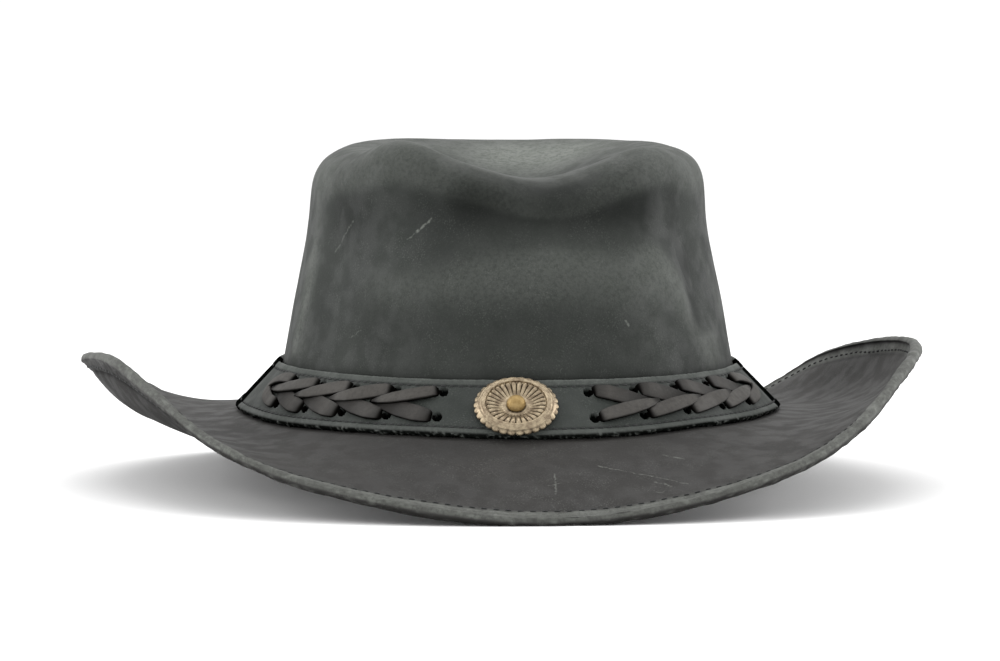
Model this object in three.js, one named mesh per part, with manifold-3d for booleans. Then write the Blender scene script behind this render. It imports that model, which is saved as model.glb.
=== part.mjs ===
// A leather bush hat, at its real size in millimetres, +Z up and its front towards -Y.
// It stands on the low front and back of its brim, and the origin is under the middle of it.

import * as THREE from "three";
import { LoftGeometry } from "three/addons/geometries/LoftGeometry.js";
import { mergeVertices } from "three/addons/utils/BufferGeometryUtils.js";
import Module from "manifold-3d";

const wasm = await Module();
wasm.setup();

// Crown sizes
const CROWN_WIDTH = 180; // across its foot, outside
const CROWN_LENGTH = 220; // front to back at its foot, outside
const CROWN_HEIGHT = 98.6; // foot to the top of the side ridges
const CROWN_LEATHER = 2;
const DISH_DEPTH = 18; // of the hollow along the top
const DENT_DEPTH = 5; // of the deepest dent in the wall

// Brim sizes
const BRIM_WIDTH = 70; // along the leather, seat to rim
const BRIM_LEATHER = 2.4;
const RIM_THICKNESS = 4.4; // where the leather is turned over
const SEAT_MARGIN = 1.6; // level ledge that shows outside the crown's foot
const PRESSED_FLAT = 1.2; // how much the resting rim is flattened
const CURL_POWER = 1.8; // above 1 the leather curls most near the rim

// Band sizes
const BAND_RISE = 15.4; // its top edge above the crown's foot
const BAND_SPREAD = 9; // its lower edge outside the brim's seat
const BAND_LEATHER = 2;
const BORDER_WIDTH = 3; // of the turned strip along either edge
const BORDER_STEP = 0.35; // how much lower the leather is between the strips
const BAND_TURN = -5.3; // degrees, how far the band is turned on the hat
const BAND_END_ANGLE = 84; // degrees, from the ornament to either end of the laced half
const HOLE_DIAMETER = 2.2;

// Lacing sizes
const THONG_WIDTH = 5;
const THONG_THICKNESS = 1.4;
const THONG_CREST = 0.7; // flat of its face, as a share of its width
const LACING_START = 16.5; // degrees, from the ornament to the first pair of holes
const HOLE_PITCH = 11.4; // degrees, from one pair of holes to the next
const UPPER_HOLES = 0.24; // share of the way down the band
const LOWER_HOLES = 0.7;
const BRAID_MIDDLE = 0.5;
const STRAND_PITCHES = 1.9; // how many pitches one strand passes
const LAST_TURN_PITCHES = 0.95; // how far the last strands go beyond their holes

// Ornament sizes
const CONCHO_WIDTH = 30;
const CONCHO_HEIGHT = 25.6;
const CONCHO_RELIEF = 3.4; // crest of its rim above its back
const SCALLOP_DEPTH = 0.5;
const FLUTE_DEPTH = 0.5;
const STUD_DIAMETER = 7;
const STUD_RELIEF = 3;
const SHANK_DIAMETER = 2.4;
const SHANK_TAIL = 1; // how far the shank stands out behind the band
const ORNAMENT_DOWN = 0.5; // share of the way down the band

const GAP = 0.3; // between pieces that touch
const HOLE_PAIRS = 5; // on each side of the ornament
const SCALLOPS = 30;

// How finely the solids are divided
const STEPS_ROUND = 64;
const WALL_RINGS = 16;
const BRIM_RINGS = 5;
const RIM_RINGS = 4;
const SLOPE_STEPS = 16;
const BAND_STEPS = 24;
const BACK_STEPS = 26;
const HOLE_SIDES = 6;
const SHANK_SIDES = 10;
const WELD = 1e-4; // corners nearer than this are one
const HALVINGS = 30; // of a search for a place on a curve

// Sections of the crown from its foot to the middle of its top: rise as a share of its height,
// side of half its width, front and back of half its length. Corner squares the oval.
const crownSections = [
  { rise: 0.0, side: 1.0, front: 1.0, back: 1.0, corner: 0.0 },
  { rise: 0.07, side: 0.959, front: 0.965, back: 0.965, corner: 0.0 },
  { rise: 0.18, side: 0.931, front: 0.94, back: 0.94, corner: 0.005 },
  { rise: 0.35, side: 0.898, front: 0.9, back: 0.905, corner: 0.01 },
  { rise: 0.5, side: 0.865, front: 0.862, back: 0.872, corner: 0.015 },
  { rise: 0.64, side: 0.837, front: 0.822, back: 0.84, corner: 0.02 },
  { rise: 0.78, side: 0.821, front: 0.79, back: 0.812, corner: 0.03 },
  { rise: 0.87, side: 0.807, front: 0.775, back: 0.79, corner: 0.04 },
  { rise: 0.94, side: 0.768, front: 0.75, back: 0.758, corner: 0.04 },
  { rise: 0.985, side: 0.69, front: 0.7, back: 0.705, corner: 0.04 },
  { rise: 1.0, side: 0.6, front: 0.62, back: 0.625, corner: 0.03 },
  { rise: 0.995, side: 0.42, front: 0.42, back: 0.42, corner: 0.0 },
  { rise: 0.99, side: 0.2, front: 0.2, back: 0.2, corner: 0.0 },
  { rise: 0.99, side: 0.03, front: 0.03, back: 0.03, corner: 0.0 },
];

// Dents in the crown's wall: where they are by angle and rise, how far they reach, and how deep
// they are as a share of the deepest. A negative depth stands proud.
const wallDents = [
  { angle: -90, rise: 0.72, reachAngle: 55, reachRise: 0.12, depth: 0.7 },
  { angle: -32, rise: 0.52, reachAngle: 13, reachRise: 0.24, depth: 0.55 },
  { angle: -58, rise: 0.45, reachAngle: 14, reachRise: 0.3, depth: -0.35 },
  { angle: -150, rise: 0.5, reachAngle: 14, reachRise: 0.25, depth: 0.4 },
  { angle: 90, rise: 0.7, reachAngle: 50, reachRise: 0.14, depth: 0.4 },
];

// Hollows in the crown's top: their middle and reach as shares of half the foot's width and
// length, and their drop as a share of the dish's depth. A negative drop stands proud.
const topHollows = [
  { side: 0.02, along: -0.08, reachSide: 0.4, reachAlong: 0.52, drop: 1.0 },
  { side: 0.09, along: -0.78, reachSide: 0.3, reachAlong: 0.22, drop: 0.5 },
  { side: -0.74, along: -0.1, reachSide: 0.2, reachAlong: 0.7, drop: 0.12 },
  { side: -0.55, along: -0.62, reachSide: 0.18, reachAlong: 0.25, drop: -0.4 },
  { side: 0.52, along: -0.62, reachSide: 0.2, reachAlong: 0.25, drop: -0.2 },
];

// The brim round the hat, from its front at -90 degrees: how steeply the leather rises in degrees
// at the seat and at the rim, and its width as a share of the full width.
const brimTurns = [
  { angle: -90, seat: -21.5, rim: -26.5, width: 1.0 },
  { angle: -60, seat: -13.5, rim: -2.5, width: 1.0 },
  { angle: -30, seat: -8, rim: 60, width: 0.98 },
  { angle: 0, seat: -10, rim: 80, width: 1.04 },
  { angle: 30, seat: -17, rim: 68, width: 1.0 },
  { angle: 60, seat: -19.5, rim: -17.5, width: 1.0 },
  { angle: 90, seat: -21.5, rim: -26.5, width: 1.0 },
  { angle: 120, seat: -17.5, rim: -17.5, width: 1.0 },
  { angle: 150, seat: -9.5, rim: 34.5, width: 1.0 },
  { angle: 180, seat: -12.5, rim: 74, width: 1.08 },
  { angle: 195, seat: -15, rim: 84, width: 1.07 },
  { angle: 210, seat: -18, rim: 66, width: 1.02 },
  { angle: 225, seat: -18, rim: 26, width: 1.0 },
  { angle: 240, seat: -16.5, rim: -7, width: 1.0 },
];

// Rings of the ornament from the hole in its back round to the hole in its front: how far out as a
// share of its half width and height, its height as a share of its relief, and how much of the
// scallops and the flutes each ring carries.
const conchoRings = [
  { out: 0.0, rise: 0.0, scallop: 0, flute: 0 },
  { out: 0.97, rise: 0.0, scallop: 1, flute: 0 },
  { out: 1.0, rise: 0.28, scallop: 1, flute: 0 },
  { out: 0.93, rise: 0.56, scallop: 0.5, flute: 0 },
  { out: 0.79, rise: 1.0, scallop: 0, flute: 0 },
  { out: 0.74, rise: 0.78, scallop: 0, flute: 0.4 },
  { out: 0.66, rise: 0.7, scallop: 0, flute: 1 },
  { out: 0.42, rise: 0.62, scallop: 0, flute: 0.8 },
  { out: 0.32, rise: 0.46, scallop: 0, flute: 0 },
  { out: 0.0, rise: 0.46, scallop: 0, flute: 0 },
];

// The stud's dome from its crown to its edge: shares of its radius and of its relief
const studDome = [
  { out: 0.0, rise: 1.0 },
  { out: 0.42, rise: 0.93 },
  { out: 0.76, rise: 0.68 },
  { out: 0.96, rise: 0.3 },
  { out: 1.0, rise: 0.0 },
];

// A strand of the lacing from its hole to its end: where along it, its width and its thickness,
// as shares of its length, of the thong's width and of the thong's thickness.
const strandStations = [
  { along: 0.0, width: 0.4, thick: 0.6 },
  { along: 0.2, width: 0.95, thick: 0.95 },
  { along: 0.65, width: 1.0, thick: 1.0 },
  { along: 1.0, width: 0.5, thick: 0.6 },
];

const FULL_TURN = 360;
const radians = THREE.MathUtils.degToRad;

// A smooth curve through the rows of a table, one value for each named column
function smoothTable(rows, columns, positions) {
  const values = rows.flatMap((row) => columns.map((column) => row[column]));
  const curve = new THREE.CubicInterpolant(positions, values, columns.length);
  return (place) => {
    const result = curve.evaluate(place);
    return Object.fromEntries(columns.map((column, index) => [column, result[index]]));
  };
}

const crownAt = smoothTable(
  crownSections,
  ["rise", "side", "front", "back", "corner"],
  crownSections.map((_, index) => index),
);

const roundTheHat = [-1, 0, 1].flatMap((lap) =>
  brimTurns.map((row) => ({ ...row, angle: row.angle + lap * FULL_TURN })),
);
const brimAt = smoothTable(
  roundTheHat,
  ["seat", "rim", "width"],
  roundTheHat.map((row) => row.angle),
);

// A bell curve, 1 in the middle and small beyond its reach
const bell = (offset, reach) => Math.exp(-((offset / reach) ** 2));

// The shortest way round from one angle to another, in degrees
const turnBetween = (from, to) => THREE.MathUtils.euclideanModulo(to - from + 180, FULL_TURN) - 180;

const halfWidth = CROWN_WIDTH / 2;
const halfLength = CROWN_LENGTH / 2;

// The top's hollows fade out down the wall between these shares of the crown's height
const WALL_SHARE = 0.6;
const RIM_SHARE = 0.95;

// A point of the crown's outer face, above its foot. Section counts rows of the table.
function crownFace(angle, section) {
  const row = crownAt(section);
  const turn = radians(angle);
  const length = Math.sin(turn) < 0 ? row.front : row.back;
  const squared = 1 + (row.corner * (1 - Math.cos(4 * turn))) / 2;
  const point = new THREE.Vector3(
    halfWidth * row.side * squared * Math.cos(turn),
    halfLength * length * squared * Math.sin(turn),
    CROWN_HEIGHT * row.rise,
  );
  const inward = new THREE.Vector3(-Math.cos(turn), -Math.sin(turn), 0);
  for (const dent of wallDents) {
    const round = bell(turnBetween(dent.angle, angle), dent.reachAngle);
    const level = bell(row.rise - dent.rise, dent.reachRise);
    point.addScaledVector(inward, DENT_DEPTH * dent.depth * round * level);
  }
  const onTop = THREE.MathUtils.smoothstep(row.rise, WALL_SHARE, RIM_SHARE);
  for (const hollow of topHollows) {
    const across = bell(point.x / halfWidth - hollow.side, hollow.reachSide);
    const along = bell(point.y / halfLength - hollow.along, hollow.reachAlong);
    point.z -= DISH_DEPTH * hollow.drop * onTop * across * along;
  }
  return point;
}

// Small step for the direction of a surface
const DIFFERENCE = 0.01;

// The outward direction of the crown's face
function crownNormal(angle, section) {
  const ahead = crownFace(angle + DIFFERENCE, section).sub(crownFace(angle - DIFFERENCE, section));
  const above = Math.min(section + DIFFERENCE, crownSections.length - 1);
  const below = Math.max(section - DIFFERENCE, 0);
  const up = crownFace(angle, above).sub(crownFace(angle, below));
  const normal = ahead.cross(up);
  if (section === 0) normal.z = 0;
  return normal.normalize();
}

// The crown's foot in plan, and the direction straight out from it
function foot(angle) {
  const turn = radians(angle);
  return new THREE.Vector3(halfWidth * Math.cos(turn), halfLength * Math.sin(turn), 0);
}

function outFromFoot(angle) {
  const turn = radians(angle);
  return new THREE.Vector3(halfLength * Math.cos(turn), halfWidth * Math.sin(turn), 0).normalize();
}

// The crown's leather stands on this much of the brim
const seatWidth = CROWN_LEATHER + SEAT_MARGIN;

// The brim's upper face at a distance along the leather from the seat's outer edge, and its slope.
// Its height is measured from the seat.
function brimFace(angle, distance) {
  const row = brimAt(angle);
  const full = BRIM_WIDTH * row.width;
  const curl = row.rim - row.seat;
  const slopeAt = (travelled) => radians(row.seat + curl * (travelled / full) ** CURL_POWER);
  const out = outFromFoot(angle);
  const point = foot(angle).addScaledVector(out, SEAT_MARGIN);
  if (distance <= 0) return { point: point.addScaledVector(out, distance), slope: 0, out };
  const step = distance / SLOPE_STEPS;
  for (let index = 0; index < SLOPE_STEPS; index += 1) {
    const slope = slopeAt((index + 0.5) * step);
    point.addScaledVector(out, step * Math.cos(slope));
    point.z += step * Math.sin(slope);
  }
  return { point, slope: slopeAt(distance), out };
}

// The direction square to the leather, upwards
const squareTo = ({ slope, out }) =>
  out.clone().multiplyScalar(-Math.sin(slope)).add(new THREE.Vector3(0, 0, Math.cos(slope)));

// The closed outline of the brim's leather at an angle: out over the top, round the rim and back
function brimSection(angle) {
  const full = BRIM_WIDTH * brimAt(angle).width;
  const rimStart = full - RIM_THICKNESS;
  const points = [brimFace(angle, -seatWidth).point];
  for (let ring = 0; ring <= BRIM_RINGS; ring += 1) {
    points.push(brimFace(angle, (rimStart * ring) / BRIM_RINGS).point);
  }
  const rim = brimFace(angle, full - RIM_THICKNESS / 2);
  const up = squareTo(rim);
  const ahead = rim.out.clone().multiplyScalar(Math.cos(rim.slope));
  ahead.z += Math.sin(rim.slope);
  const centre = rim.point.clone().addScaledVector(up, -BRIM_LEATHER / 2);
  for (let ring = 0; ring <= RIM_RINGS; ring += 1) {
    const turn = Math.PI / 2 - (Math.PI * ring) / RIM_RINGS;
    const around = up.clone().multiplyScalar(Math.sin(turn)).addScaledVector(ahead, Math.cos(turn));
    points.push(centre.clone().addScaledVector(around, RIM_THICKNESS / 2));
  }
  for (let ring = BRIM_RINGS; ring >= 0; ring -= 1) {
    const place = brimFace(angle, (rimStart * ring) / BRIM_RINGS);
    points.push(place.point.addScaledVector(squareTo(place), -BRIM_LEATHER));
  }
  const inner = brimFace(angle, -seatWidth).point;
  inner.z -= BRIM_LEATHER;
  points.push(inner);
  return points;
}

const anglesRound = Array.from({ length: STEPS_ROUND }, (_, step) => -90 + (FULL_TURN * step) / STEPS_ROUND);

// The seat's height above the surface, so that the lowest rim is pressed flat on it
const lowest = Math.min(...anglesRound.flatMap((angle) => brimSection(angle).map((point) => point.z)));
const seatHeight = -lowest - PRESSED_FLAT;
const crownFoot = seatHeight + GAP;

// A ring drawn together to its middle, which closes the end of a body
function drawnTogether(ring) {
  const middle = ring.reduce((sum, point) => sum.add(point), new THREE.Vector3());
  middle.divideScalar(ring.length);
  return ring.map(() => middle);
}

// Shared corners only, and no triangle drawn together to a line
function welded(geometry) {
  geometry.deleteAttribute("normal");
  geometry.deleteAttribute("uv");
  const merged = mergeVertices(geometry, WELD);
  const corners = Array.from(merged.index.array);
  const kept = [];
  for (let corner = 0; corner < corners.length; corner += 3) {
    const triangle = corners.slice(corner, corner + 3);
    if (new Set(triangle).size === 3) kept.push(...triangle);
  }
  merged.setIndex(kept);
  if (enclosedVolume(merged) < 0) merged.setIndex(kept.reverse());
  return merged;
}

// A closed body through rings of points, with both ends closed
const closedBody = (rings) =>
  welded(new LoftGeometry([drawnTogether(rings[0]), ...rings, drawnTogether(rings.at(-1))]));

// A closed body through rings of points that come back to the first
const joinedBody = (rings) => welded(new LoftGeometry([...rings, rings[0]]));

function enclosedVolume(geometry) {
  const corners = geometry.index.array;
  const position = geometry.attributes.position;
  const [first, second, third] = [new THREE.Vector3(), new THREE.Vector3(), new THREE.Vector3()];
  let volume = 0;
  for (let corner = 0; corner < corners.length; corner += 3) {
    first.fromBufferAttribute(position, corners[corner]);
    second.fromBufferAttribute(position, corners[corner + 1]);
    third.fromBufferAttribute(position, corners[corner + 2]);
    volume += first.dot(second.cross(third)) / 6;
  }
  return volume;
}

// Crown: its inside from the top down to the foot, then its outside back up
function makeCrown() {
  const last = crownSections.length - 1;
  const sections = Array.from({ length: WALL_RINGS + 1 }, (_, ring) => (last * ring) / WALL_RINGS);
  const outside = sections.map((section) => anglesRound.map((angle) => crownFace(angle, section)));
  const inside = sections.map((section) =>
    anglesRound.map((angle) =>
      crownFace(angle, section).addScaledVector(crownNormal(angle, section), -CROWN_LEATHER),
    ),
  );
  const crown = closedBody([...inside.reverse(), ...outside]);
  return crown.translate(0, 0, crownFoot);
}

// Brim: its outline taken round the hat
function makeBrim() {
  const sections = anglesRound.map(brimSection);
  for (const point of sections.flat()) {
    point.z = Math.max(point.z + seatHeight, 0);
  }
  return joinedBody(sections);
}

// Where the band's top edge is among the crown's sections, found by halving
function sectionAtRise(rise) {
  let [low, high] = [0, crownSections.findIndex((row) => row.rise > 2 * rise)];
  for (let halving = 0; halving < HALVINGS; halving += 1) {
    const middle = (low + high) / 2;
    if (crownAt(middle).rise < rise) low = middle;
    else high = middle;
  }
  return low;
}

const bandTopSection = sectionAtRise(BAND_RISE / CROWN_HEIGHT);

// The two edges of the band's inner face. Place is in degrees round from the ornament.
function bandEdges(place) {
  const angle = -90 + BAND_TURN + place;
  const top = crownFace(angle, bandTopSection).addScaledVector(crownNormal(angle, bandTopSection), GAP);
  top.z += crownFoot;
  const rest = brimFace(angle, BAND_SPREAD);
  const bottom = rest.point.addScaledVector(squareTo(rest), GAP);
  bottom.z += seatHeight;
  return { top, bottom };
}

// The band's surface and the directions along it: round the hat, up the band and outwards
function bandFrame(place, down, height = 0) {
  const middleAt = (at) => {
    const { top, bottom } = bandEdges(at);
    return top.lerp(bottom, down);
  };
  const { top, bottom } = bandEdges(place);
  const round = middleAt(place + DIFFERENCE).sub(middleAt(place - DIFFERENCE)).normalize();
  const up = top.clone().sub(bottom).normalize();
  const outward = round.clone().cross(up).normalize();
  const point = top.lerp(bottom, down).addScaledVector(outward, height);
  return { point, round, up: outward.clone().cross(round), outward };
}

// The length of the band's slope in front, which turns widths into shares of it
const frontEdges = bandEdges(0);
const bandSlope = frontEdges.top.distanceTo(frontEdges.bottom);

// The outline of the band's leather, with a raised border along both edges
function bandSection(place) {
  const border = BORDER_WIDTH / bandSlope;
  const step = BORDER_STEP / bandSlope;
  const thin = BAND_LEATHER - BORDER_STEP;
  const outline = [
    [0, 0],
    [0, BAND_LEATHER],
    [border, BAND_LEATHER],
    [border + step, thin],
    [1 - border - step, thin],
    [1 - border, BAND_LEATHER],
    [1, BAND_LEATHER],
    [1, 0],
  ];
  return outline.map(([down, height]) => bandFrame(place, down, height).point);
}

function bandStrip(from, to, steps) {
  const places = Array.from({ length: steps + 1 }, (_, step) => from + ((to - from) * step) / steps);
  return closedBody(places.map(bandSection));
}

// A solid that can be cut and joined, from a closed body, and back again
function solid(geometry) {
  const mesh = new wasm.Mesh({
    numProp: 3,
    vertProperties: Float32Array.from(geometry.attributes.position.array),
    triVerts: Uint32Array.from(geometry.index.array),
  });
  return new wasm.Manifold(mesh);
}

function shape(manifold) {
  const { vertProperties, triVerts } = manifold.getMesh();
  const geometry = new THREE.BufferGeometry();
  geometry.setAttribute("position", new THREE.BufferAttribute(vertProperties, 3));
  geometry.setIndex(new THREE.BufferAttribute(triVerts, 1));
  return geometry;
}

// A round bar through the band's leather, square to it and well out of both faces
function barThroughBand(place, down, diameter, divisions) {
  const { point, round, up, outward } = bandFrame(place, down, BAND_LEATHER / 2);
  const length = 4 * BAND_LEATHER;
  const bar = new THREE.CylinderGeometry(diameter / 2, diameter / 2, length, divisions);
  const placing = new THREE.Matrix4().makeBasis(up, outward, round).setPosition(point);
  return solid(welded(bar).applyMatrix4(placing));
}

const bothSides = [-1, 1];
const pairs = Array.from({ length: HOLE_PAIRS }, (_, pair) => pair);
const holePlace = (side, pair) => side * (LACING_START + HOLE_PITCH * pair);
const shankHole = SHANK_DIAMETER + 2 * GAP;

// Laced half of the band, with its holes and the shank's hole cut through
function makeBandFront() {
  let band = solid(bandStrip(-BAND_END_ANGLE, BAND_END_ANGLE, BAND_STEPS));
  for (const side of bothSides) {
    for (const pair of pairs) {
      for (const down of [UPPER_HOLES, LOWER_HOLES]) {
        band = band.subtract(barThroughBand(holePlace(side, pair), down, HOLE_DIAMETER, HOLE_SIDES));
      }
    }
  }
  return shape(band.subtract(barThroughBand(0, ORNAMENT_DOWN, shankHole, SHANK_SIDES)));
}

// Plain half of the band, a gap away from the ends of the other
function makeBandBack() {
  const gapAngle = THREE.MathUtils.radToDeg(GAP / halfWidth);
  const from = BAND_END_ANGLE + gapAngle;
  return bandStrip(from, FULL_TURN - from, BACK_STEPS);
}

// One strand of the lacing, from its hole outwards to the middle of the braid
function makeStrand(side, pair, holeDown) {
  const length = Math.min(STRAND_PITCHES, HOLE_PAIRS - 1 + LAST_TURN_PITCHES - pair) * HOLE_PITCH;
  const at = (along) => ({
    place: holePlace(side, pair) + side * length * along,
    down: THREE.MathUtils.lerp(holeDown, BRAID_MIDDLE, along),
  });
  const rings = strandStations.map((station) => {
    const { place, down } = at(station.along);
    const { point, outward } = bandFrame(place, down, BAND_LEATHER + GAP);
    const ahead = at(station.along + DIFFERENCE);
    const run = bandFrame(ahead.place, ahead.down, BAND_LEATHER + GAP).point.sub(point).normalize();
    const across = outward.clone().cross(run).multiplyScalar((THONG_WIDTH * station.width) / 2);
    const thickness = THONG_THICKNESS * station.thick;
    return [
      point.clone().sub(across),
      point.clone().addScaledVector(across, -THONG_CREST).addScaledVector(outward, thickness),
      point.clone().addScaledVector(across, THONG_CREST).addScaledVector(outward, thickness),
      point.clone().add(across),
    ];
  });
  return solid(closedBody(rings));
}

// Lacing on one side of the ornament, joined where its strands lie over one another
function makeLacing(side) {
  const strands = pairs.flatMap((pair) =>
    [UPPER_HOLES, LOWER_HOLES].map((holeDown) => makeStrand(side, pair, holeDown)),
  );
  return shape(strands.reduce((joined, strand) => joined.add(strand)));
}

// Ornament, cast with a hole for the stud's shank
function makeConcho() {
  const steps = 2 * SCALLOPS;
  const hole = shankHole / 2;
  const rings = conchoRings.map((ring) =>
    Array.from({ length: steps }, (_, step) => {
      const turn = (2 * Math.PI * step) / steps;
      const wave = Math.cos(SCALLOPS * turn);
      const swell = SCALLOP_DEPTH * ring.scallop * wave;
      return new THREE.Vector3(
        (hole + (CONCHO_WIDTH / 2 - hole) * ring.out + swell) * Math.cos(turn),
        (hole + (CONCHO_HEIGHT / 2 - hole) * ring.out + swell) * Math.sin(turn),
        CONCHO_RELIEF * ring.rise + (FLUTE_DEPTH / 2) * ring.flute * wave,
      );
    }),
  );
  return joinedBody(rings);
}

// Stud, a dome on a shank
function makeStud() {
  const radius = STUD_DIAMETER / 2;
  const base = CONCHO_RELIEF * conchoRings.at(-1).rise + GAP;
  const profile = studDome.map((row) => new THREE.Vector2(radius * row.out, base + STUD_RELIEF * row.rise));
  const shank = SHANK_DIAMETER / 2;
  const tail = -GAP - BAND_LEATHER - SHANK_TAIL;
  profile.push(new THREE.Vector2(shank, base));
  profile.push(new THREE.Vector2(shank, tail));
  profile.push(new THREE.Vector2(0, tail));
  const stud = new THREE.LatheGeometry(profile.reverse(), SHANK_SIDES);
  return welded(stud).rotateX(Math.PI / 2);
}

const leather = (color) => new THREE.MeshStandardMaterial({ color, roughness: 0.75, metalness: 0 });
const brass = (color) => new THREE.MeshStandardMaterial({ color, roughness: 0.4, metalness: 1 });

// The hat is built about the crown's axis, and moved so that the brim's middle is over the origin
const hat = new THREE.Group();

function add(name, geometry, material, parent = hat) {
  const mesh = new THREE.Mesh(geometry, material);
  mesh.name = name;
  parent.add(mesh);
}

const brim = makeBrim();
brim.computeBoundingBox();
const middle = brim.boundingBox.getCenter(new THREE.Vector3());
hat.position.set(-middle.x, -middle.y, 0);

add("crown", makeCrown(), leather(0x454845));
add("brim", brim, leather(0x524f4d));
add("band_front", makeBandFront(), leather(0x3e4241));
add("band_back", makeBandBack(), leather(0x3e4241));
add("lacing_left", makeLacing(-1), leather(0x55514f));
add("lacing_right", makeLacing(1), leather(0x55514f));

const ornament = new THREE.Group();
const seatOnBand = bandFrame(0, ORNAMENT_DOWN, BAND_LEATHER + GAP);
ornament.applyMatrix4(
  new THREE.Matrix4().makeBasis(seatOnBand.round, seatOnBand.up, seatOnBand.outward).setPosition(seatOnBand.point),
);
add("concho", makeConcho(), brass(0xa38a5f), ornament);
add("concho_stud", makeStud(), brass(0xb8924e), ornament);
hat.add(ornament);

export default hat;
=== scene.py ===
# A leather bush hat with a laced band and a cast ornament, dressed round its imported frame.
# Lengths are in millimetres unless a name says otherwise, and become metres when a mesh is made.

import math
from itertools import zip_longest

import bmesh
import bpy
import numpy as np
from mathutils import Matrix, Vector, noise
from mathutils.bvhtree import BVHTree
from mathutils.kdtree import KDTree


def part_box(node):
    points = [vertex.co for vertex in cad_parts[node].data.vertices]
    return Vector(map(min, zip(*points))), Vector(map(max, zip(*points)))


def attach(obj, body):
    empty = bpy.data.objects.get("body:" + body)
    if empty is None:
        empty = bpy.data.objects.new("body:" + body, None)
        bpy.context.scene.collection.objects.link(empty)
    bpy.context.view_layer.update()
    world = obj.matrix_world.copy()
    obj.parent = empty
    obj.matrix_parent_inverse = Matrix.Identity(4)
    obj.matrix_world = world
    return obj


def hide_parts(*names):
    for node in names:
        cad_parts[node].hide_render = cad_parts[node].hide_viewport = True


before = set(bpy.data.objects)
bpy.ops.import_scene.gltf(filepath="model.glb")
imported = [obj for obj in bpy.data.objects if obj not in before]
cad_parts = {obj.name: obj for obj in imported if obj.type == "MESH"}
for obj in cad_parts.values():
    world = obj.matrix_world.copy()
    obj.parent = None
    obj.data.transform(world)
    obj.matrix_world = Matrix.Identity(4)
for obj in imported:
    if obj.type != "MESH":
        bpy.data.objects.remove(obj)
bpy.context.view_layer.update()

MM = 0.001
BODY = "root"

# The photograph's frame, and where it shows the middle of the hat
PHOTO_WIDTH = 1000
PHOTO_HEIGHT = 661
PHOTO_MIDDLE = (502, 278.5)
FOCAL_PIXELS = 6666.7
SENSOR_MM = 36
CAMERA_YAW = math.radians(6)
CAMERA_ELEVATION = math.radians(3.5)
CAMERA_DISTANCE = 2500
HAT_MIDDLE = Vector((0, 0, 76))

# Band sizes, the frame's own but for its holes, which are worn wider
BAND_RISE = 15.4
BAND_SPREAD = 9
BAND_LEATHER = 2
BAND_TURN = -5.3
BAND_END_ANGLE = 84
SEAT_MARGIN = 1.6
HOLE_DIAMETER = 3.0
HOLE_DEPTH = 1.7
GAP = 0.3

# Lacing sizes
THONG_WIDTH = 5.2
THONG_THICKNESS = 1.4
LACING_START = 16.5
HOLE_PITCH = 11.4
HOLE_PAIRS = 5
UPPER_HOLES = 0.24
LOWER_HOLES = 0.7
BRAID_MIDDLE = 0.5
OVER_PITCHES = 1.38
UNDER_PITCHES = 1.36
STRAND_START = 0.06

# Ornament sizes
CONCHO_WIDTH = 30
CONCHO_HEIGHT = 25.6
ORNAMENT_DOWN = 0.5
CONCHO_RELIEF = 3.4
SCALLOPS = 30
FLUTES = 30
STUD_DIAMETER = 7
STUD_RELIEF = 3
SHANK_DIAMETER = 2.4
SHANK_TAIL = 1

# Stitch sizes
STITCH_RADIUS = 0.4
RIM_STITCH_PITCH = 4.3
RIM_STITCH_LENGTH = 2.7
RIM_STITCH_INSET = 6.8
BAND_STITCH_PITCH = 3.4
BAND_STITCH_LENGTH = 2.5
BAND_STITCH_INSET = 3.1
THREAD_SIDES = 8
THREAD_RINGS = 7

# Studio sizes
FARTHEST_METRES = 200
FLOOR_RADIUS = 90000
FLOOR_SIDES = 64
FLOOR_DROP = 0.2
WORLD_STRENGTH = 1.2

FULL_TURN = 360
OVER_THE_HAT = 200


# Small helpers

def table(names, *rows):
    """Rows of numbers under their names. What a row leaves off at its end is 0."""
    return [dict(zip_longest(names, row, fillvalue=0)) for row in rows]


def smoothstep(low, high, value):
    share = np.clip((value - low) / (high - low), 0, 1)
    return share * share * (3 - 2 * share)


def bell(offset, reach):
    return np.exp(-((offset / reach) ** 2))


def unit(vectors):
    return vectors / np.linalg.norm(vectors, axis=-1, keepdims=True)


def rough(points, size, seed=0):
    """Smooth noise between about -1 and 1 at each point, with features of the size given."""
    shift = Vector((17.3 * seed, 5.1 * seed, 9.7 * seed))
    return np.array([noise.noise(Vector(point) / size + shift) for point in points])


# Camera

def camera_axes():
    """The camera's right, up and back directions."""
    back = Vector((
        -math.sin(CAMERA_YAW) * math.cos(CAMERA_ELEVATION),
        -math.cos(CAMERA_YAW) * math.cos(CAMERA_ELEVATION),
        math.sin(CAMERA_ELEVATION),
    ))
    right = Vector((math.cos(CAMERA_YAW), -math.sin(CAMERA_YAW), 0))
    return right, back.cross(right), back


def camera_place():
    return HAT_MIDDLE + camera_axes()[2] * CAMERA_DISTANCE


def camera_aim():
    """What the image's middle shows, so that the hat lies where the photograph has it."""
    right, up, _ = camera_axes()
    pixel = CAMERA_DISTANCE / FOCAL_PIXELS
    aside = (PHOTO_MIDDLE[0] - PHOTO_WIDTH / 2) * pixel
    above = (PHOTO_HEIGHT / 2 - PHOTO_MIDDLE[1]) * pixel
    return HAT_MIDDLE - right * aside - up * above


def make_camera():
    data = bpy.data.cameras.new("camera")
    data.sensor_width = SENSOR_MM
    data.lens = SENSOR_MM * FOCAL_PIXELS / PHOTO_WIDTH
    data.clip_end = FARTHEST_METRES
    camera = bpy.data.objects.new("camera", data)
    camera.location = camera_place() * MM
    looking = (camera_aim() - camera_place()).to_track_quat("-Z", "Y")
    camera.rotation_euler = looking.to_euler()
    bpy.context.scene.collection.objects.link(camera)
    bpy.context.scene.camera = camera


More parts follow.
